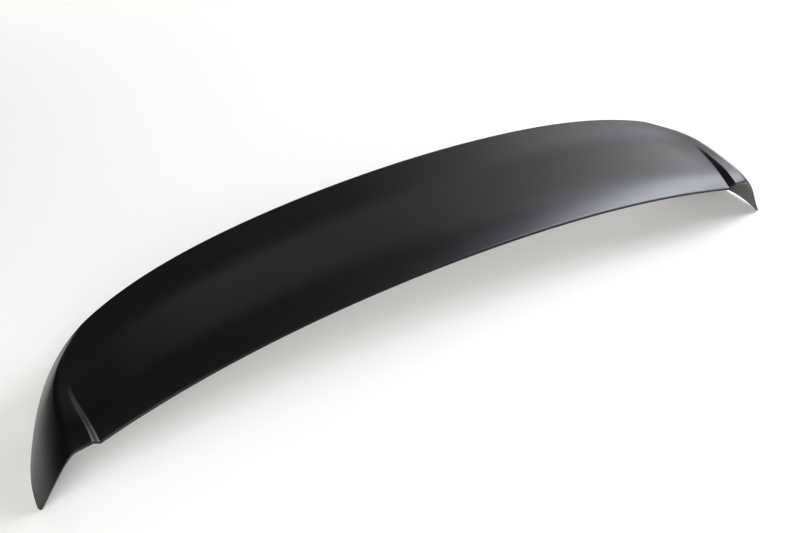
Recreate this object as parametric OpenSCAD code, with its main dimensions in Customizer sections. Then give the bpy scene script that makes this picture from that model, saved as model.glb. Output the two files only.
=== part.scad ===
// Roof spoiler: one thin moulded shell with an arched panel, a low step at each end of the rear edge
// and a fin flaring down from a rounded crease on each side. It stands on the four ends of its fins.
// X runs across the car, Y towards the front edge, Z up; the floor is z = 0.

/* [Overall] */
// Width over the two fin tips
span = 1123; // [960:1:1280]
// Depth on the centre line from front edge to rear edge
chord = 186.6; // [150:0.1:225]
// Height of the front edge on the centre line
front_height = 151.9; // [125:0.1:180]
// Height of the rear edge on the centre line
rear_height = 120; // [100:0.5:145]
// Wall thickness of the moulding
wall = 3; // [2:0.25:4]

/* [Panel] */
// How far the front edge sweeps back from its centre to its ends
front_sweep = 50; // [30:0.5:65]
// How far the front edge drops from its centre to its ends
front_crown = 36.2; // [20:0.1:50]
// How far the rear edge sweeps back from its centre to its ends
rear_sweep = 28.9; // [10:0.1:45]
// How far the rear edge drops from its centre to its ends
rear_crown = 37.2; // [20:0.1:50]
// How much steeper the front and rear bands run than the middle of the panel
band_slope = 0.17; // [0:0.01:0.3]
// How far the rear edge curls down
lip_drop = 2.5; // [0:0.25:4]
// Depth over which the rear edge curls down
lip_depth = 4; // [3:0.25:6]

/* [Step] */
// Height of the raised strip over the panel at the rear edge
step_height = 9; // [3:0.5:12]
// Width of the sloping face between panel and strip
step_width = 10; // [8:0.5:16]
// Length from the rear edge over which the step fades out
step_length = 96; // [60:1:120]
// How far the strip's rear edge stands behind the panel's
step_reach = 2; // [0:0.5:4]
// Width of the raised strip at the rear edge
strip_width = 23; // [16:0.5:34]

/* [Fin] */
// How far each fin spreads outwards from crease to tip
fin_flare = 56.5; // [35:0.5:75]
// How far the crease turns inwards on its way to the front edge
crease_turn = 71.4; // [50:0.1:90]
// Reach of the rounding on either side of the crease
crease_round = 6; // [4:0.5:9]
// Extra thickness inside each rear corner, where strip and fin meet
corner_fill = 5; // [0:0.5:6]
// How far that extra thickness spreads from the crease
corner_reach = 23; // [15:1:30]
// Length of each fin along the floor
foot_length = 119.7; // [95:0.1:145]
// How far the front foot stands inside the tip
foot_inset = 24.3; // [10:0.1:40]
// How far the fin's bottom edge bows outwards in front of the tip
foot_bow = 1.75; // [0:0.25:4]
// Clearance under the middle of the fin's bottom edge
foot_relief = 3.5; // [0:0.5:8]
// Rounding of the fin's rear corner, the tip
tip_round = 4.5; // [3:0.5:9]
// Rounding of the fin's front corner, the foot
foot_round = 16; // [4:1:24]

/* [Hidden] */
black = [0.06, 0.06, 0.065];
half = span / 2 - 0.05;
crease_x = span / 2 - fin_flare;
strip_full = strip_width + step_width;
step_x = crease_x - strip_full;
merge_x = crease_x - crease_turn;
end_y = (step_reach - chord - rear_sweep) / 2 - 0.5;
tip_y = end_y + 5;
foot_end = 1 - (wall / 2 + foot_round) / foot_length;
rear_y0 = end_y + rear_sweep;
front_y0 = rear_y0 + chord;
fin_height = norm([fin_flare, rear_height - rear_crown]);
rear_rows = [1, 1 - 0.008, 1 - 0.018, 1 - 0.032];
body_rows = 17;
rows = len(rear_rows) + body_rows;
nose = 3;
panel_cols = 26;
step_cols = 6;
strip_cols = 3;
crease_cols = 5;
fin_cols = 11;

// Easing helpers
function mix(a, b, s) = a + (b - a) * s;
function clamp(s) = min(1, max(0, s));
function ease(s) = let (c = clamp(s)) c * c * (3 - 2 * c);
function ease_area(s) = s <= 0 ? 0 : s >= 1 ? s - 0.5 : pow(s, 3) - pow(s, 4) / 2;
function unit(v) = v / norm(v);

// Front and rear edges of the arched panel, as functions of the distance from the centre
function front_y(x) =
    let (u = pow(x / merge_x, 2))
    front_y0 - front_sweep * u * (0.51 + u * (0.185 + 0.305 * u));
function front_z(x) =
    let (u = pow(x / merge_x, 2))
    front_height - front_crown * u * (0.889 + u * (0.195 * u - 0.084));
function rear_y(x) =
    let (u = pow(x / step_x, 2))
    rear_y0 - rear_sweep * u * (0.76 + 0.24 * u);
function rear_z(x) =
    let (u = pow(x / step_x, 2))
    rear_height - rear_crown * u * (0.82 + 0.18 * u);

// Shallow double bend from front (t = 0) to rear (t = 1): the front band drops faster than the middle,
// and the rear band curves down
function chord_bend(t) =
    0.22 * ease_area((t - 0.14) / 0.22) - 0.6845 * ease_area((t - 0.63) / 0.37) - 0.40775 * t;
function panel_z(x, y) =
    let (f = front_y(x), c = f - rear_y(x), t = (f - y) / c)
    mix(front_z(x), rear_z(x), t) + band_slope * c * chord_bend(t);
function panel_normal(x, y) =
    unit([panel_z(x - 2, y) - panel_z(x + 2, y), panel_z(x, y - 2) - panel_z(x, y + 2), 4]);

// Lines running from the rear edge (q = 0) to the front edge (q = 1)
function crease_at(q) = crease_x - crease_turn * pow(q, 3.63);
function low_gap(q) = strip_full - 0.48 * strip_full * ease(1.5 * q);
function high_gap(q) = strip_width - 0.52 * strip_width * ease(1.3 * q);
function line_gap(c, q) =
    c <= 2 ? mix(low_gap(q), high_gap(q), c - 1) :
    mix(high_gap(q), crease_round * (c >= 3 ? 0 : 1), min(c, 3) - 2);
function line_x(c, q) = c <= 1 ? c * (crease_at(q) - low_gap(q)) : crease_at(q) - line_gap(c, q);
function line_y(c, q) =
    mix(rear_y(min(line_x(c, 0), step_x)) - step_reach * ease(c - 1), front_y(line_x(c, 1)), q);
function lift(c, q, gap) =
    let (long = 1 - ease(q * chord / step_length * 0.88), side = pow(max(0, 1 - gap / 35), 2))
    step_height * (1 - ease((q - 0.58) / 0.42)) * (long * ease(c - 1) + (1 - long) * side);
function curl(q) = let (s = clamp(1 - q * chord / lip_depth)) lip_drop * (1 - sqrt(1 - 0.96 * s * s)) / 0.8;
function top_point(c, q) =
    let (x = line_x(c, q), y = line_y(c, q))
    [x, y, panel_z(x, y) + lift(c, q, crease_at(q) - x) - curl(q)];

// Fin: a four-sided patch between crease, rear side, bottom edge and front side
function bottom_at(q) =
    let (u = min(1, q / foot_end))
    [half - foot_inset * pow(q, 1.9) + foot_bow * 6.75 * q * pow(1 - q, 2),
     tip_y + foot_length * q,
     foot_relief * 4 * u * (1 - u) + wall * (0.168 - 0.4 * u)];
function crease_point(q) = top_point(3, q);
side_top = crease_point(1);
side_foot = bottom_at(1);
side_size = norm(side_foot - side_top);
side_lead = side_top + side_size * 0.237
    * unit([10, front_y(merge_x + 10) - front_y(merge_x), front_z(merge_x + 10) - front_z(merge_x)]);
side_land = side_foot + side_size * 0.47 * unit([-0.35, 0.29, 0.84]);
function front_bow(v) =
    pow(1 - v, 3) * side_top + 3 * v * pow(1 - v, 2) * side_lead + 3 * v * v * (1 - v) * side_land
    + pow(v, 3) * side_foot - mix(side_top, side_foot, v);
rear_bow = [2.4, -1.1, 0.5];
tip_bow = [0.5, 0.9, -1.9];
function fin_point(v, q) =
    mix(crease_point(q), bottom_at(q), v)
    + (1 - q) * 6.75 * v * (1 - v) * mix(rear_bow, tip_bow, v) + q * q * front_bow(v);
function fin_normal(v, q) =
    unit(cross(fin_point(v, min(1, q + 0.01)) - fin_point(v, max(0, q - 0.01)),
               fin_point(max(0, v - 0.01), q) - fin_point(min(1, v + 0.01), q)));
fin_start = crease_round / fin_height;

// Outer skin and its normal at line c (0 centre, 1 step foot, 2 step top, 3 to 4 crease, 5 bottom edge)
function fin_share(c) = mix(fin_start, 1 - wall / 2 / fin_height, c - 4);
function skin(c, q) =
    c <= 3 ? (c < 3 ? top_point(c, q) : skin_round(0, q)) :
    c < 4 ? skin_round(c - 3, q) : fin_point(fin_share(c), q);
function strip_end(q) =
    let (x = crease_at(q) - crease_round, s = top_point(2.999, q))
    [x, s[1], panel_z(x, s[1]) + lift(3, q, crease_round) - curl(q)];
function skin_round(w, q) =
    pow(1 - w, 2) * strip_end(q) + 2 * w * (1 - w) * crease_point(q) + w * w * fin_point(fin_start, q);
function skin_normal(c, q) =
    c <= 3 ? panel_normal(line_x(min(c, 2.999), q), line_y(min(c, 2.999), q)) :
    c < 4 ? let (s = strip_end(q)) unit(mix(panel_normal(s[0], s[1]), fin_normal(fin_start, q), c - 3)) :
    fin_normal(fin_share(c), q);

// Each line stops short of the edge by half the wall, and by more where a fin's corner is rounded
function edge_trim(c, r) =
    let (e = c <= 4 ? r : (5 - c) * fin_height)
    (wall / 2 + (e >= r ? 0 : r - sqrt(r * r - pow(r - e, 2)))) / (c <= 4 ? chord : foot_length);

// Extra thickness inside the rear corner: it fades out sideways, downwards and forwards
function corner(c, q) =
    let (away = c < 3 ? line_gap(c, 0) : fin_share(max(c, 4)) * fin_height,
         share = c < 1 ? 0 : (1 - ease(away / corner_reach)) * (1 - ease(1.4 * q)))
    share == 0 ? [0, 0, 0] :
    let (s = strip_end(q)) corner_fill * share * unit(panel_normal(s[0], s[1]) + fin_normal(fin_start, q));

// One closed section round the wall; out and thin round off the fin's bottom edge
row_shares = concat([for (j = [0 : body_rows - 1]) 0.95 * j / (body_rows - 1)],
                    [for (j = [len(rear_rows) - 1 : -1 : 0]) rear_rows[j]]);
function section(c, out, thin) =
    let (
        r = wall / 2,
        at = [for (s = row_shares) mix(1 - edge_trim(c, foot_round), edge_trim(c, tip_round), s)],
        n = [for (q = at) skin_normal(c, q)],
        m = [for (j = [0 : rows - 1]) skin(c, at[j]) - n[j] * r
             + (out > 0 ? unit(skin(c, at[j]) - skin(c - 0.05, at[j])) * out : [0, 0, 0])],
        h = r * thin,
        outer = [for (j = [0 : rows - 1]) m[j] + n[j] * h],
        inner = [for (j = [rows - 1 : -1 : 0]) m[j] - n[j] * h - corner(c, at[j])],
        back = unit(m[rows - 1] - m[rows - 2]), ahead = unit(m[0] - m[1]))
    concat(
        outer,
        [for (k = [1 : nose]) let (a = 180 * k / (nose + 1))
            mix(outer[rows - 1], inner[0], (1 - cos(a)) / 2) + back * h * sin(a)],
        inner,
        [for (k = [1 : nose]) let (a = 180 * k / (nose + 1))
            mix(inner[rows - 1], outer[0], (1 - cos(a)) / 2) + ahead * h * sin(a)]);

lines = concat(
    [for (i = [0 : panel_cols - 1]) i / panel_cols],
    [for (i = [0 : step_cols - 1]) 1 + i / step_cols],
    [for (i = [0 : strip_cols - 1]) 2 + i / strip_cols],
    [for (i = [0 : crease_cols - 1]) 3 + i / crease_cols],
    [for (i = [0 : fin_cols]) 5 - pow(1 - i / fin_cols, 1.8)]);
half_sections = concat(
    [for (c = lines) section(c, 0, 1)],
    [for (a = [30, 60, 80]) section(5, wall / 2 * sin(a), cos(a))]);

function mirrored(points) = [for (p = points) [-p[0], p[1], p[2]]];

module spoiler_shell() {
    last = len(half_sections) - 1;
    sections = concat(
        [for (i = [last : -1 : 1]) mirrored(half_sections[i])],
        half_sections);
    m = len(half_sections[0]);
    count = len(sections);
    // Each square is cut along mirrored diagonals left and right of the centre
    wall_faces = [for (s = [0 : count - 2]) for (j = [0 : m - 1])
        let (a = s * m + j, b = s * m + (j + 1) % m)
        each (s < last ? [[a, a + m, b], [b, a + m, b + m]] : [[a, b + m, b], [a, a + m, b + m]])];
    // Each end is closed by strips between the outer and inner rows, folded about the middle of the nose
    fold = rows + (nose - 1) / 2;
    cap_faces = concat(
        [for (j = [fold - m / 2 + 1 : fold - 2])
            let (a = (j + m) % m, b = (j + 1 + m) % m, c = 2 * fold - j - 1, d = c + 1)
            each [[a, b, c], [a, c, d]]],
        [[fold - 1, fold, fold + 1], [fold + m / 2 - 1, fold + m / 2, (fold + m / 2 + 1) % m]]);
    end = (count - 1) * m;
    end_faces = [for (f = cap_faces) [f[0] + end, f[2] + end, f[1] + end]];
    color(black)
    polyhedron(points = [for (s = sections) each s], faces = concat(wall_faces, cap_faces, end_faces));
}

spoiler_shell();
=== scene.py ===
import math

import bpy
import numpy as np
from bpy.props import FloatProperty, FloatVectorProperty, PointerProperty
from mathutils import Matrix, Vector


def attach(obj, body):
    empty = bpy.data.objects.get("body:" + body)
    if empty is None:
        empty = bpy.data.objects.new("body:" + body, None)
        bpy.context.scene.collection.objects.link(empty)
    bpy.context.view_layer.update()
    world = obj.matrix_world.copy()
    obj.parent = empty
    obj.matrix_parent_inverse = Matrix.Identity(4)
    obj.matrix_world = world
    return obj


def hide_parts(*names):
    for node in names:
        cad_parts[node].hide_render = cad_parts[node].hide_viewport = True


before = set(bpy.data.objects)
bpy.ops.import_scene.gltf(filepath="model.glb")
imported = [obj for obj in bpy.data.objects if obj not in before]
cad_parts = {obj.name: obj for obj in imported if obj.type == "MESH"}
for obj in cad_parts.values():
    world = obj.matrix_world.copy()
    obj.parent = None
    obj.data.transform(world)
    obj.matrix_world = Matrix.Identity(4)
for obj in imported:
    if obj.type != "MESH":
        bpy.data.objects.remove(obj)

bl_info = {
    "name": "Roof spoiler",
    "version": (1, 0, 0),
    "blender": (4, 5, 0),
    "location": "3D View > Sidebar > Spoiler",
    "description": "A moulded roof spoiler in satin black plastic on a pale studio floor",
    "category": "Object",
}


# Sizes and colours that a user would change

class SpoilerSizes(bpy.types.PropertyGroup):
    """Sizes of the shell, in metres."""

    span: FloatProperty(
        name="Span", description="Width over the two fin tips",
        default=1.123, unit="LENGTH")
    chord: FloatProperty(
        name="Chord", description="Depth on the centre line",
        default=0.1866, unit="LENGTH")
    front_height: FloatProperty(
        name="Front height", description="Height of the front edge on the centre line",
        default=0.1519, unit="LENGTH")
    rear_height: FloatProperty(
        name="Rear height", description="Height of the rear edge on the centre line",
        default=0.12, unit="LENGTH")
    wall: FloatProperty(
        name="Wall", description="Wall thickness of the moulding",
        default=0.003, unit="LENGTH")
    front_sweep: FloatProperty(
        name="Front sweep", description="How far the front edge sweeps back to its ends",
        default=0.05, unit="LENGTH")
    front_crown: FloatProperty(
        name="Front crown", description="How far the front edge drops to its ends",
        default=0.0362, unit="LENGTH")
    rear_sweep: FloatProperty(
        name="Rear sweep", description="How far the rear edge sweeps back to its ends",
        default=0.0289, unit="LENGTH")
    rear_crown: FloatProperty(
        name="Rear crown", description="How far the rear edge drops to its ends",
        default=0.0372, unit="LENGTH")
    band_slope: FloatProperty(
        name="Band slope",
        description="How much steeper the front and rear bands run than the middle",
        default=0.17)
    lip_drop: FloatProperty(
        name="Lip drop", description="How far the rear edge curls down",
        default=0.0025, unit="LENGTH")
    lip_depth: FloatProperty(
        name="Lip depth", description="Depth over which the rear edge curls down",
        default=0.004, unit="LENGTH")
    step_height: FloatProperty(
        name="Step height", description="Height of the raised strip over the panel",
        default=0.009, unit="LENGTH")
    step_width: FloatProperty(
        name="Step width", description="Width of the sloping face beside the strip",
        default=0.01, unit="LENGTH")
    step_length: FloatProperty(
        name="Step length", description="Length over which the step fades out",
        default=0.096, unit="LENGTH")
    step_reach: FloatProperty(
        name="Step reach", description="How far the strip's rear edge stands back",
        default=0.002, unit="LENGTH")
    strip_width: FloatProperty(
        name="Strip width", description="Width of the raised strip at the rear edge",
        default=0.023, unit="LENGTH")
    fin_flare: FloatProperty(
        name="Fin flare", description="How far each fin spreads outwards",
        default=0.0565, unit="LENGTH")
    crease_turn: FloatProperty(
        name="Crease turn", description="How far the crease turns inwards",
        default=0.0714, unit="LENGTH")
    crease_round: FloatProperty(
        name="Crease rounding", description="Reach of the rounding beside the crease",
        default=0.006, unit="LENGTH")
    corner_fill: FloatProperty(
        name="Corner fill", description="Extra thickness inside the rear corner",
        default=0.005, unit="LENGTH")
    corner_reach: FloatProperty(
        name="Corner reach", description="How far the extra thickness spreads from the crease",
        default=0.023, unit="LENGTH")
    foot_length: FloatProperty(
        name="Foot length", description="Length of each fin along the floor",
        default=0.1197, unit="LENGTH")
    foot_inset: FloatProperty(
        name="Foot inset", description="How far the front foot stands inside the tip",
        default=0.0243, unit="LENGTH")
    foot_bow: FloatProperty(
        name="Foot bow", description="How far the fin's bottom edge bows outwards",
        default=0.00175, unit="LENGTH")
    foot_relief: FloatProperty(
        name="Foot relief", description="Clearance under the fin's bottom edge",
        default=0.0035, unit="LENGTH")
    tip_round: FloatProperty(
        name="Tip rounding", description="Rounding of the fin's tip",
        default=0.0045, unit="LENGTH")
    foot_round: FloatProperty(
        name="Foot rounding", description="Rounding of the fin's front foot",
        default=0.016, unit="LENGTH")


class SpoilerFinish(bpy.types.PropertyGroup):
    """Colours and gloss of the plastic."""

    black: FloatVectorProperty(
        name="Black", description="Colour of the plastic",
        subtype="COLOR", size=3, default=(0.0015, 0.0015, 0.0017))
    haze: FloatVectorProperty(
        name="Haze", description="Slightly lighter cloudy areas",
        subtype="COLOR", size=3, default=(0.0028, 0.0028, 0.003))
    speck: FloatVectorProperty(
        name="Specks", description="Dust specks",
        subtype="COLOR", size=3, default=(0.05, 0.05, 0.052))
    roughness: FloatProperty(
        name="Roughness", description="Mean roughness of the satin skin",
        default=0.32, subtype="FACTOR")


class StudioLook(bpy.types.PropertyGroup):
    """Floor and lamps."""

    floor: FloatVectorProperty(
        name="Floor", description="Colour of the floor",
        subtype="COLOR", size=3, default=(0.93, 0.91, 0.86))
    key: FloatProperty(
        name="Lamps", description="Strength of all the lamps together", default=1.0)
    wall: FloatProperty(
        name="Wall", description="Brightness of the studio's walls near the floor", default=0.8)
    fill: FloatProperty(
        name="Fill", description="Brightness of the room above the walls", default=0.04)
    lift: FloatProperty(
        name="Floor lift", description="Brightness added to the floor as it is seen",
        default=0.094)


# Fixed numbers of the form: shares, unless a line says metres

SIDE_GAP = 0.00005  # metres that the skin stops inside half the span
END_GAP = 0.0005  # metres by which the rear end stands back further
TIP_AHEAD = 0.005  # metres by which the fin's tip stands ahead of that end
FRONT_SWEEP = (0.51, 0.185, 0.305)  # spread of each edge's sweep and crown over the width
FRONT_CROWN = (0.889, -0.084, 0.195)
REAR_SWEEP = (0.76, 0.24, 0.0)
REAR_CROWN = (0.82, 0.18, 0.0)
BENDS = ((0.14, 0.22, 1.0), (0.63, 0.37, -1.85))  # each of the panel's bends: start, length, turn
CREASE_POWER = 3.63  # how late the crease turns inwards
STEP_CLOSES, STEP_PACE = 0.48, 1.5  # how far and how soon the step's foot nears the crease
STRIP_CLOSES, STRIP_PACE = 0.52, 1.3  # the same for the strip's inner edge
FADE_PACE = 0.88  # how soon the sloping face fades
FADE_REACH = 0.06  # metres that the rise beside the crease spreads once the face has faded
SINK_START = 0.58  # where the strip starts to sink into the panel
CURL_ROUND = 0.96  # how round the rear edge curls down
INSET_POWER = 1.9  # how late the fin's bottom edge turns inwards
FOOT_RISE, FOOT_FALL = 0.168, 0.4  # bottom edge's height at the tip and its fall, in walls
LEAD = 0.237  # how far the fin's front side runs on along the front edge
LAND = 0.47  # how far it keeps the direction of its foot
LANDING = (-0.35, 0.29, 0.84)  # that direction
REAR_BOW = (0.0024, -0.0011, 0.0005)  # metres that the fin's rear side bows near its top
TIP_BOW = (0.0005, 0.0009, -0.0019)  # and near its tip
PEAK = 6.75  # makes v (1 - v)^2 reach 1
CORNER_PACE = 1.4  # how soon the corner's extra thickness fades forwards
TAPER, TAPER_DEPTH = 0.42, 0.008  # how much the wall thins at the rear edge, over how many metres
EDGE_STEP = 0.05  # how far back on c the bottom edge's direction is read
STRIP_EDGE = 2.999  # the line just short of 3, where the strip meets the rounding


# The shell's form

def mix(a, b, share):
    return a + (b - a) * share


def ease(s):
    s = np.clip(s, 0.0, 1.0)
    return s * s * (3 - 2 * s)


def ease_area(s):
    """The area under ease, up to s."""
    return np.where(s <= 0, 0.0, np.where(s >= 1, s - 0.5, s ** 3 - s ** 4 / 2))


def spread(x, end, weights):
    """Grows from 0 on the centre line to 1 at end, in powers of the distance squared."""
    u = (x / end) ** 2
    a, b, c = weights
    return u * (a + u * (b + u * c))


def double_bend(t):
    return sum(size * turn * ease_area((t - start) / size) for start, size, turn in BENDS)


def unit(v):
    return v / np.linalg.norm(v, axis=-1, keepdims=True)


def stack(x, y, z):
    return np.stack(np.broadcast_arrays(x, y, z), -1)


class ShellForm:
    """Skin of the right half.

    Lines c run from rear (q = 0) to front (q = 1): 0 on the centre, 1 and 2 at the foot and top
    of the step, 3 to 4 round the crease, 5 on the fin's bottom edge.
    """

    def __init__(self, s):
        self.s = s
        self.half = s.span / 2 - SIDE_GAP
        self.crease_x = s.span / 2 - s.fin_flare
        self.strip_full = s.strip_width + s.step_width
        self.step_x = self.crease_x - self.strip_full
        self.merge_x = self.crease_x - s.crease_turn
        end_y = (s.step_reach - s.chord - s.rear_sweep) / 2 - END_GAP
        self.tip_y = end_y + TIP_AHEAD
        self.foot_end = 1 - (s.wall / 2 + s.foot_round) / s.foot_length
        self.rear_y0 = end_y + s.rear_sweep
        self.front_y0 = self.rear_y0 + s.chord
        self.fin_height = math.hypot(s.fin_flare, s.rear_height - s.rear_crown)
        self.fin_start = s.crease_round / self.fin_height
        self.side_top = self.crease_point(np.float64(1.0))
        self.side_foot = self.bottom_at(np.float64(1.0))
        size = np.linalg.norm(self.side_foot - self.side_top)
        x, step = self.merge_x, 0.01
        along = unit(stack(step, self.front_y(x + step) - self.front_y(x),
                           self.front_z(x + step) - self.front_z(x)))
        self.side_lead = self.side_top + size * LEAD * along
        self.side_land = self.side_foot + size * LAND * unit(np.array(LANDING))
        self.rear_bow = np.array(REAR_BOW)
        self.tip_bow = np.array(TIP_BOW)

    def front_y(self, x):
        return self.front_y0 - self.s.front_sweep * spread(x, self.merge_x, FRONT_SWEEP)

    def front_z(self, x):
        return self.s.front_height - self.s.front_crown * spread(x, self.merge_x, FRONT_CROWN)

    def rear_y(self, x):
        return self.rear_y0 - self.s.rear_sweep * spread(x, self.step_x, REAR_SWEEP)

    def rear_z(self, x):
        return self.s.rear_height - self.s.rear_crown * spread(x, self.step_x, REAR_CROWN)

    def panel_z(self, x, y):
        front = self.front_y(x)
        depth = front - self.rear_y(x)
        t = (front - y) / depth
        bend = double_bend(t) - double_bend(1.0) * t
        return mix(self.front_z(x), self.rear_z(x), t) + self.s.band_slope * depth * bend

    def panel_normal(self, x, y):
        d = 0.002  # metres to each side
        return unit(stack(self.panel_z(x - d, y) - self.panel_z(x + d, y),
                          self.panel_z(x, y - d) - self.panel_z(x, y + d), 2 * d))

    def crease_at(self, q):
        return self.crease_x - self.s.crease_turn * q ** CREASE_POWER

    def low_gap(self, q):
        return self.strip_full * (1 - STEP_CLOSES * ease(STEP_PACE * q))

    def high_gap(self, q):
        return self.s.strip_width * (1 - STRIP_CLOSES * ease(STRIP_PACE * q))

    def line_gap(self, c, q):
        """How far line c runs inside the crease."""
        if c <= 2:
            return mix(self.low_gap(q), self.high_gap(q), c - 1)
        return mix(self.high_gap(q), 0.0 if c >= 3 else self.s.crease_round, min(c, 3) - 2)

    def line_x(self, c, q):
        if c <= 1:
            return c * (self.crease_at(q) - self.low_gap(q))
        return self.crease_at(q) - self.line_gap(c, q)

    def line_y(self, c, q):
        rear = self.rear_y(min(self.line_x(c, 0.0), self.step_x))
        return mix(rear - self.s.step_reach * ease(c - 1), self.front_y(self.line_x(c, 1.0)), q)

    def lift(self, c, q, gap):
        """Rise of the step and strip over the panel, gap metres inside the crease."""
        full = 1 - ease(q * self.s.chord / self.s.step_length * FADE_PACE)
        side = np.maximum(0, 1 - gap / FADE_REACH) ** 2
        sink = 1 - ease((q - SINK_START) / (1 - SINK_START))
        return self.s.step_height * sink * (full * ease(c - 1) + (1 - full) * side)

    def curl(self, q):
        """Drop of the rear edge."""
        s = np.clip(1 - q * self.s.chord / self.s.lip_depth, 0, 1)
        whole = 1 - math.sqrt(1 - CURL_ROUND)
        return self.s.lip_drop * (1 - np.sqrt(1 - CURL_ROUND * s * s)) / whole

    def top_point(self, c, q):
        x, y = self.line_x(c, q), self.line_y(c, q)
        lift = self.lift(c, q, self.crease_at(q) - x)
        return stack(x, y, self.panel_z(x, y) + lift - self.curl(q))

    def crease_point(self, q):
        return self.top_point(3, q)

    def bottom_at(self, q):
        u = np.minimum(1, q / self.foot_end)
        bow = self.s.foot_bow * PEAK * q * (1 - q) ** 2
        return stack(self.half - self.s.foot_inset * q ** INSET_POWER + bow,
                     self.tip_y + self.s.foot_length * q,
                     self.s.foot_relief * 4 * u * (1 - u)
                     + self.s.wall * (FOOT_RISE - FOOT_FALL * u))

    def front_bow(self, v):
        """How far the fin's front side, a cubic curve, stands off a straight line."""
        return ((1 - v) ** 3 * self.side_top + 3 * v * (1 - v) ** 2 * self.side_lead
                + 3 * v * v * (1 - v) * self.side_land + v ** 3 * self.side_foot
                - mix(self.side_top, self.side_foot, v))

    def fin_point(self, v, q):
        """A point on the fin, v down from the crease to the bottom edge."""
        share = np.asarray(q)[..., None]
        bow = PEAK * v * (1 - v) * ((1 - v) * self.rear_bow + v * self.tip_bow)
        return (mix(self.crease_point(q), self.bottom_at(q), v) + (1 - share) * bow
                + share * share * self.front_bow(v))

    def fin_normal(self, v, q):
        d = 0.01
        lo, hi = np.maximum(0, q - d), np.minimum(1, q + d)
        forwards = self.fin_point(v, hi) - self.fin_point(v, lo)
        upwards = self.fin_point(max(0, v - d), q) - self.fin_point(min(1, v + d), q)
        return unit(np.cross(forwards, upwards))

    def strip_end(self, q):
        """Where the strip meets the rounding of the crease."""
        x, y = self.crease_at(q) - self.s.crease_round, self.line_y(STRIP_EDGE, q)
        lift = self.lift(3, q, self.s.crease_round)
        return stack(x, y, self.panel_z(x, y) + lift - self.curl(q))

    def fin_share(self, c):
        return mix(self.fin_start, 1 - self.s.wall / 2 / self.fin_height, c - 4)

    def skin(self, c, q):
        if c < 3:
            return self.top_point(c, q)
        if c < 4:
            w = c - 3
            return ((1 - w) ** 2 * self.strip_end(q) + 2 * w * (1 - w) * self.crease_point(q)
                    + w * w * self.fin_point(self.fin_start, q))
        return self.fin_point(self.fin_share(c), q)

    def skin_normal(self, c, q):
        if c <= 3:
            c = min(c, STRIP_EDGE)
            return self.panel_normal(self.line_x(c, q), self.line_y(c, q))
        if c < 4:
            end = self.strip_end(q)
            return unit(mix(self.panel_normal(end[..., 0], end[..., 1]),
                            self.fin_normal(self.fin_start, q), c - 3))
        return self.fin_normal(self.fin_share(c), q)

    def trim(self, c, r):
        """Share of line c that the wall's rounded end and a corner of radius r take off."""
        edge = r if c <= 4 else (5 - c) * self.fin_height
        cut = 0.0 if edge >= r else r - math.sqrt(r * r - (r - edge) ** 2)
        return (self.s.wall / 2 + cut) / (self.s.chord if c <= 4 else self.s.foot_length)

    def corner(self, c, q):
        """Extra thickness inside the rear corner; it fades sideways, downwards and forwards."""
        if c < 3:
            away = self.line_gap(c, 0.0)
        else:
            away = self.fin_share(max(c, 4)) * self.fin_height
        end = self.strip_end(q)
        inwards = unit(self.panel_normal(end[..., 0], end[..., 1])
                       + self.fin_normal(self.fin_start, q))
        share = 0.0 * q
        if c >= 1:
            share = (1 - ease(away / self.s.corner_reach)) * (1 - ease(CORNER_PACE * q))
        return inwards * (self.s.corner_fill * share)[..., None]

    def taper(self, c, q):
        """The panel's wall thins towards the very rear edge, which shows as a fine dark line."""
        away = (q - q.min()) * self.s.chord / TAPER_DEPTH
        return 1 - TAPER * (1 - ease(c - 1)) * (1 - ease(away))

    def section(self, c, shares, nose, out=0.0, thin=1.0):
        """A closed loop round the wall. out and thin round off the fin's bottom edge."""
        r = self.s.wall / 2
        q = mix(1 - self.trim(c, self.s.foot_round), self.trim(c, self.s.tip_round), shares)
        n = self.skin_normal(c, q)
        m = self.skin(c, q) - n * r
        if out > 0:
            before = self.skin(c - EDGE_STEP, q)
            m = m + unit(self.skin(c, q) - before) * out
        outer = m + n * r * thin
        inner = outer - n * 2 * r * thin * self.taper(c, q)[:, None] - self.corner(c, q)
        back, ahead = unit(m[-1] - m[-2]), unit(m[0] - m[1])
        angles = np.linspace(0, np.pi, nose + 2)[1:-1, None]
        across, along = np.cos(angles), np.sin(angles) * r * thin
        rear_nose = mix(outer[-1], inner[-1], (1 - across) / 2) + back * along
        front_nose = mix(inner[0], outer[0], (1 - across) / 2) + ahead * along
        return np.concatenate([outer, rear_nose, inner[::-1], front_nose])


# The mesh: points round each section, and sections from the centre line to the bottom edge

NOSE = 7  # points round each rounded end of the wall
LIP_SHARE = 0.94  # from here to the rear edge the points are closer
TOP_POINTS, LIP_POINTS = 78, 14
PANEL_LINES, STEP_LINES, STRIP_LINES, CREASE_LINES, FIN_LINES = 72, 18, 8, 12, 34
FIN_CROWDING = 1.8  # how much closer the fin's sections are near its bottom edge
EDGE_ANGLES = (15, 30, 45, 60, 75, 85)  # degrees round the bottom edge


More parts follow.
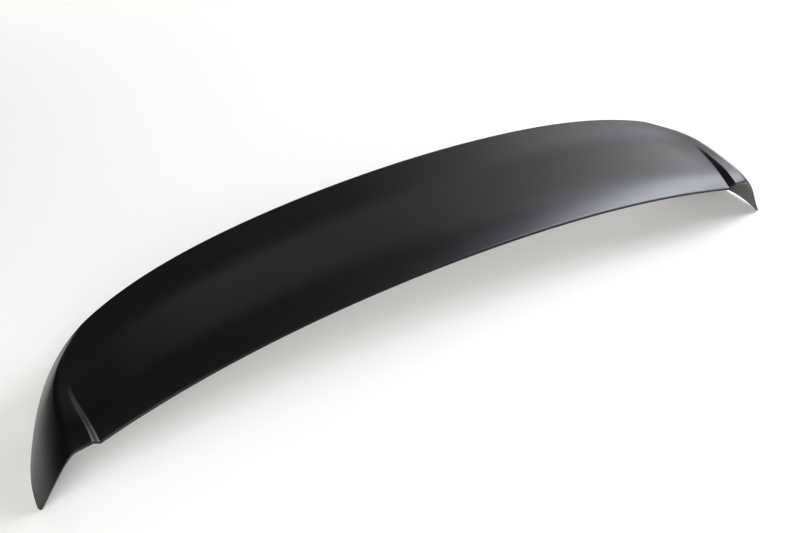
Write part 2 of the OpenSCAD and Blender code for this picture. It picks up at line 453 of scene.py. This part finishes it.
def shell_mesh(form):
    """Joins the sections from fin to fin into one closed mesh."""
    name = "spoiler_shell_fine"
    shares = np.concatenate([np.linspace(0, LIP_SHARE, TOP_POINTS, endpoint=False),
                             np.linspace(LIP_SHARE, 1, LIP_POINTS)])
    lines = np.concatenate([
        np.linspace(0, 1, PANEL_LINES, endpoint=False),
        np.linspace(1, 2, STEP_LINES, endpoint=False),
        np.linspace(2, 3, STRIP_LINES, endpoint=False),
        np.linspace(3, 4, CREASE_LINES, endpoint=False),
        5 - (1 - np.linspace(0, 1, FIN_LINES)) ** FIN_CROWDING])
    half = [form.section(c, shares, NOSE) for c in lines]
    half += [form.section(5.0, shares, NOSE, form.s.wall / 2 * math.sin(a), math.cos(a))
             for a in np.radians(EDGE_ANGLES)]
    sections = [h * np.array([-1, 1, 1]) for h in half[:0:-1]] + half
    m, count = len(half[0]), len(sections)
    points = np.concatenate(sections)
    faces = []
    for s in range(count - 1):
        for j in range(m):
            a, b = s * m + j, s * m + (j + 1) % m
            faces.append((a, b, b + m, a + m))

    # The two ends are closed by faces from wall side to wall side
    fold = len(shares) + (NOSE - 1) // 2
    end = (count - 1) * m
    for j in range(fold - m // 2 + 1, fold - 1):
        a, b, c = j % m, (j + 1) % m, 2 * fold - j - 1
        faces.append((c + 1, c, b, a))
        faces.append((a + end, b + end, c + end, c + 1 + end))
    for middle in (fold, fold + m // 2):
        a, b, c = middle - 1, middle, middle + 1
        faces += [(c, b, a), (a + end, b + end, c + end)]

    mesh = bpy.data.meshes.new(name)
    mesh.from_pydata(points.tolist(), [], faces)
    mesh.validate()
    mesh.update()
    mesh.shade_smooth()
    return bpy.data.objects.new(name, mesh)


# Materials

# Sockets of the Mix node's colour mode, whose names aren't unique
COLOUR_A, COLOUR_B, COLOUR_OUT = 6, 7, 2


class Value:
    """A socket that can be used in arithmetic; each operation adds a Math node."""

    def __init__(self, nodes, socket):
        self.nodes, self.socket = nodes, socket

    def maths(self, operation, *terms):
        return self.nodes.add("ShaderNodeMath", {"operation": operation},
                              dict(enumerate(terms)))["Value"]

    def __add__(self, other):
        return self.maths("ADD", self, other)

    def __sub__(self, other):
        return self.maths("SUBTRACT", self, other)

    def __rsub__(self, other):
        return self.maths("SUBTRACT", other, self)

    def __mul__(self, other):
        return self.maths("MULTIPLY", self, other)

    __radd__, __rmul__ = __add__, __mul__


class Made:
    """A node whose outputs are read by name or number, as values."""

    def __init__(self, nodes, node):
        self.nodes, self.node = nodes, node

    def __getitem__(self, output):
        return Value(self.nodes, self.node.outputs[output])


class NodeTree:
    """Adds nodes to one material or world."""

    def __init__(self, owner):
        owner.use_nodes = True
        self.tree = owner.node_tree
        self.tree.nodes.clear()

    def add(self, kind, settings=None, sockets=None):
        node = self.tree.nodes.new(kind)
        for name, value in (settings or {}).items():
            if name == "ramp":
                self.set_ramp(node.color_ramp, value)
            else:
                setattr(node, name, value)
        for name, value in (sockets or {}).items():
            if isinstance(value, Value):
                self.tree.links.new(value.socket, node.inputs[name])
            else:
                node.inputs[name].default_value = value
        return Made(self, node)

    @staticmethod
    def set_ramp(ramp, stops):
        while len(ramp.elements) < len(stops):
            ramp.elements.new(1.0)
        for element, (position, shade) in zip(ramp.elements, stops):
            element.position = position
            element.color = (shade, shade, shade, 1)


def rgba(colour):
    return (*colour, 1.0)


def satin_plastic(finish):
    """Black moulded plastic: satin skin, cloudy gloss, a fine grain and a few dust specks."""
    material = bpy.data.materials.new("satin_black_plastic")
    t = NodeTree(material)
    place = t.add("ShaderNodeTexCoord")["Object"]
    cloud = t.add("ShaderNodeTexNoise", None, {
        "Vector": place, "Scale": 9.0, "Detail": 3.0, "Roughness": 0.55})["Fac"]
    flow = t.add("ShaderNodeTexNoise", None, {
        "Vector": place, "Scale": 60.0, "Detail": 2.0, "Roughness": 0.5})["Fac"]
    grain = t.add("ShaderNodeTexNoise", None, {
        "Vector": place, "Scale": 2600.0, "Detail": 1.0, "Roughness": 0.5})["Fac"]

    # A speck is the middle of a cell, in the few cells whose random colour is reddest
    cells = t.add("ShaderNodeTexVoronoi", {"feature": "F1"}, {"Vector": place, "Scale": 150.0})
    pick = t.add("ShaderNodeSeparateColor", None, {"Color": cells["Color"]})["Red"]
    near = t.add("ShaderNodeValToRGB", {"ramp": [(0.0, 1.0), (0.045, 0.0)]}, {
        "Fac": cells["Distance"]})["Color"]
    few = t.add("ShaderNodeValToRGB", {"ramp": [(0.965, 0.0), (0.97, 1.0)]}, {
        "Fac": pick})["Color"]
    specks = near * few

    base = t.add("ShaderNodeMix", {"data_type": "RGBA"}, {
        "Factor": cloud, COLOUR_A: rgba(finish.black), COLOUR_B: rgba(finish.haze)})[COLOUR_OUT]
    coloured = t.add("ShaderNodeMix", {"data_type": "RGBA"}, {
        "Factor": specks, COLOUR_A: base, COLOUR_B: rgba(finish.speck)})[COLOUR_OUT]
    clouding, ripple, dust = 0.06, 0.03, 0.2  # how far each changes the roughness
    rough = (finish.roughness + (cloud - 0.5) * clouding + (flow - 0.5) * ripple
             + specks * dust)
    grained = t.add("ShaderNodeBump", None, {
        "Strength": 0.12, "Distance": 0.00008, "Height": grain})["Normal"]
    rippled = t.add("ShaderNodeBump", None, {
        "Strength": 0.15, "Distance": 0.0002, "Height": flow, "Normal": grained})["Normal"]
    skin = t.add("ShaderNodeBsdfPrincipled", None, {
        "Base Color": coloured, "Roughness": rough, "Normal": rippled,
        "IOR": 1.55, "Specular IOR Level": 0.5})["BSDF"]
    t.add("ShaderNodeOutputMaterial", None, {"Surface": skin})
    return material


LIFT_NEAR, LIFT_FAR = 1.3, 3.0  # metres from the part between which the floor's lift grows
MOTTLE = 0.006  # brightness of the paper's mottle


def floor_paper(look):
    """Pale matt floor; what is seen of it is lifted towards white, and shadows stay."""
    material = bpy.data.materials.new("floor_paper")
    t = NodeTree(material)
    place = t.add("ShaderNodeTexCoord")["Object"]
    mottle = t.add("ShaderNodeTexNoise", None, {
        "Vector": place, "Scale": 6.0, "Detail": 4.0})["Fac"]
    matt = t.add("ShaderNodeBsdfDiffuse", None, {"Color": rgba(look.floor)})["BSDF"]
    path = t.add("ShaderNodeLightPath")
    seen = path["Is Camera Ray"] + path["Is Glossy Ray"] + path["Is Transmission Ray"]
    reach = t.add("ShaderNodeVectorMath", {"operation": "LENGTH"}, {0: place})["Value"]
    lift = t.add("ShaderNodeMapRange", {"interpolation_type": "SMOOTHSTEP"}, {
        "Value": reach, "From Min": LIFT_NEAR, "From Max": LIFT_FAR,
        "To Min": look.lift, "To Max": look.wall})["Result"]
    glow = t.add("ShaderNodeEmission", None, {
        "Color": seen * (mottle * MOTTLE + lift), "Strength": 1.0})["Emission"]
    both = t.add("ShaderNodeAddShader", None, {0: matt, 1: glow})["Shader"]
    t.add("ShaderNodeOutputMaterial", None, {"Surface": both})
    return material


def flag_cloth():
    """Black cloth of the flag."""
    material = bpy.data.materials.new("flag_cloth")
    t = NodeTree(material)
    cloth = t.add("ShaderNodeBsdfDiffuse", None, {"Color": (0.01, 0.01, 0.01, 1)})["BSDF"]
    t.add("ShaderNodeOutputMaterial", None, {"Surface": cloth})
    return material


# Operators

class SPOILER_OT_make_shell(bpy.types.Operator):
    """Make the spoiler's shell, with its steps, creases and fins"""

    bl_idname = "spoiler.make_shell"
    bl_label = "Make shell"

    def execute(self, context):
        piece = shell_mesh(ShellForm(context.scene.spoiler_sizes))
        context.scene.collection.objects.link(piece)
        piece.data.materials.append(satin_plastic(context.scene.spoiler_finish))
        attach(piece, "root")
        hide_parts("spoiler_shell")
        return {"FINISHED"}


# Soft lamps round the shell: name, azimuth from the front (+Y) towards the right (+X) and
# elevation in degrees, width and height in metres, radiance (1 looks like a white surface), tint
COOL = (0.87, 0.9, 1.0)
PLAIN = (0.97, 0.98, 1.0)
LAMPS = (
    ("key_softbox", 110, 44, 0.70, 0.95, 10, COOL),
    ("key_inner", 96, 44, 0.39, 0.54, 13.8, COOL),
    ("key_edge", 84, 38, 0.40, 1.02, 3.51, COOL),
    ("key_foot", 84, 34, 0.42, 0.70, 7.41, COOL),
    ("right_panel", 71, 31, 0.43, 1.60, 2.47, PLAIN),
    ("right_dim", 58, 31, 0.43, 1.60, 1.37, PLAIN),
    ("back_dim", 45, 40, 0.41, 1.60, 0.539, PLAIN),
    ("back_panel", 10, 28, 1.81, 2.05, 0.495, PLAIN),
    ("back_strip", 350, 14, 0.99, 1.02, 3.52, PLAIN),
    ("low_strip", 65, 5, 0.77, 0.46, 7.45, PLAIN),
    ("right_low", 118, 24, 0.90, 0.90, 0.75, PLAIN),
    ("front_fill", 225, 30, 2.20, 1.60, 3.44, PLAIN),
)
LAMP_DISTANCE = 2.2
LAMP_AIM = Vector((0.1, 0, 0.05))

# The floor and the black flag beside the left fin, in metres
FLOOR = ((-40, -40, 0), (40, -40, 0), (40, 40, 0), (-40, 40, 0))
FLAG = ((-0.585, -2, 0), (-0.64, 1.1, 0), (-0.64, 1.1, 1), (-0.585, -2, 1))

# Heights, as the sine of the elevation, where the studio's wall ends and the room above is full
WALL_END, ROOM_START = 0.12, 0.36

# The camera: place in metres, direction in degrees, lens and sensor in millimetres
CAMERA_PLACE = (-0.5104, -0.8764, 1.0081)
CAMERA_AZIMUTH, CAMERA_DOWN = 29.04, 43.26
CAMERA_LENS, CAMERA_SENSOR = 45.0, 36.0


def direction(azimuth, elevation):
    a, e = math.radians(azimuth), math.radians(elevation)
    return Vector((math.sin(a) * math.cos(e), math.cos(a) * math.cos(e), math.sin(e)))


def softbox(context, name, azimuth, elevation, width, height, glow, tint):
    """A rectangular lamp that faces the shell; glow is its radiance."""
    data = bpy.data.lights.new(name, "AREA")
    data.shape, data.size, data.size_y = "RECTANGLE", width, height
    data.energy = math.pi * width * height * glow
    data.color = tint
    lamp = bpy.data.objects.new(name, data)
    away = direction(azimuth, elevation)
    lamp.location = LAMP_AIM + away * LAMP_DISTANCE
    lamp.rotation_euler = away.to_track_quat("Z", "Y").to_euler()
    lamp.visible_camera = False
    context.scene.collection.objects.link(lamp)


def backdrop(context, name, corners, material):
    """One flat sheet that belongs to the stage."""
    mesh = bpy.data.meshes.new(name)
    mesh.from_pydata(corners, [], [(0, 1, 2, 3)])
    sheet = bpy.data.objects.new(name, mesh)
    sheet.data.materials.append(material)
    context.scene.collection.objects.link(sheet)
    return sheet


def studio_world(context, look):
    """Pale walls near the floor and a dim room above them."""
    world = bpy.data.worlds.new("studio")
    context.scene.world = world
    t = NodeTree(world)
    place = t.add("ShaderNodeTexCoord")["Generated"]
    height = t.add("ShaderNodeSeparateXYZ", None, {"Vector": place})["Z"]
    stops = [(0.0, look.wall), (WALL_END, look.wall), (ROOM_START, look.fill)]
    shade = t.add("ShaderNodeValToRGB", {"ramp": stops}, {"Fac": height})["Color"]
    room = t.add("ShaderNodeBackground", None, {"Color": shade, "Strength": 1.0})["Background"]
    t.add("ShaderNodeOutputWorld", None, {"Surface": room})


def studio_camera(context):
    data = bpy.data.cameras.new("camera")
    data.lens, data.sensor_width = CAMERA_LENS, CAMERA_SENSOR
    camera = bpy.data.objects.new("camera", data)
    ahead = direction(CAMERA_AZIMUTH, -CAMERA_DOWN)
    a = math.radians(CAMERA_AZIMUTH)
    right = Vector((math.cos(a), -math.sin(a), 0))
    turn = Matrix((right, right.cross(ahead), -ahead)).transposed()
    camera.matrix_world = Matrix.Translation(CAMERA_PLACE) @ turn.to_4x4()
    context.scene.collection.objects.link(camera)
    context.scene.camera = camera


class SPOILER_OT_make_stage(bpy.types.Operator):
    """Make the floor, the lamps and the camera"""

    bl_idname = "spoiler.make_stage"
    bl_label = "Make stage"

    def execute(self, context):
        look = context.scene.studio_look
        backdrop(context, "floor", FLOOR, floor_paper(look))

        # Only reflections see the flag
        flag = backdrop(context, "black_flag", FLAG, flag_cloth())
        flag.visible_camera = flag.visible_diffuse = flag.visible_shadow = False

        for name, azimuth, elevation, width, height, glow, tint in LAMPS:
            softbox(context, name, azimuth, elevation, width, height, glow * look.key, tint)
        studio_world(context, look)
        studio_camera(context)
        context.scene.view_settings.view_transform = "Standard"
        return {"FINISHED"}


class SPOILER_PT_panel(bpy.types.Panel):
    """The spoiler's operators and settings"""

    bl_idname = "SPOILER_PT_panel"
    bl_label = "Roof spoiler"
    bl_space_type = "VIEW_3D"
    bl_region_type = "UI"
    bl_category = "Spoiler"

    def draw(self, context):
        scene, column = context.scene, self.layout.column()
        for group in (scene.spoiler_sizes, scene.spoiler_finish, scene.studio_look):
            for name in group.__annotations__:
                column.prop(group, name)
            column.separator()
        for operator in (SPOILER_OT_make_stage, SPOILER_OT_make_shell):
            column.operator(operator.bl_idname)


CLASSES = (SpoilerSizes, SpoilerFinish, StudioLook,
           SPOILER_OT_make_stage, SPOILER_OT_make_shell, SPOILER_PT_panel)
SETTINGS = (("spoiler_sizes", SpoilerSizes), ("spoiler_finish", SpoilerFinish),
            ("studio_look", StudioLook))


def register():
    for item in CLASSES:
        bpy.utils.register_class(item)
    for name, group in SETTINGS:
        setattr(bpy.types.Scene, name, PointerProperty(type=group))


def unregister():
    for name, _ in SETTINGS:
        delattr(bpy.types.Scene, name)
    for item in reversed(CLASSES):
        bpy.utils.unregister_class(item)


def main():
    register()
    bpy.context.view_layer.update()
    bpy.ops.spoiler.make_stage()
    bpy.ops.spoiler.make_shell()


if __name__ == "__main__":
    main()
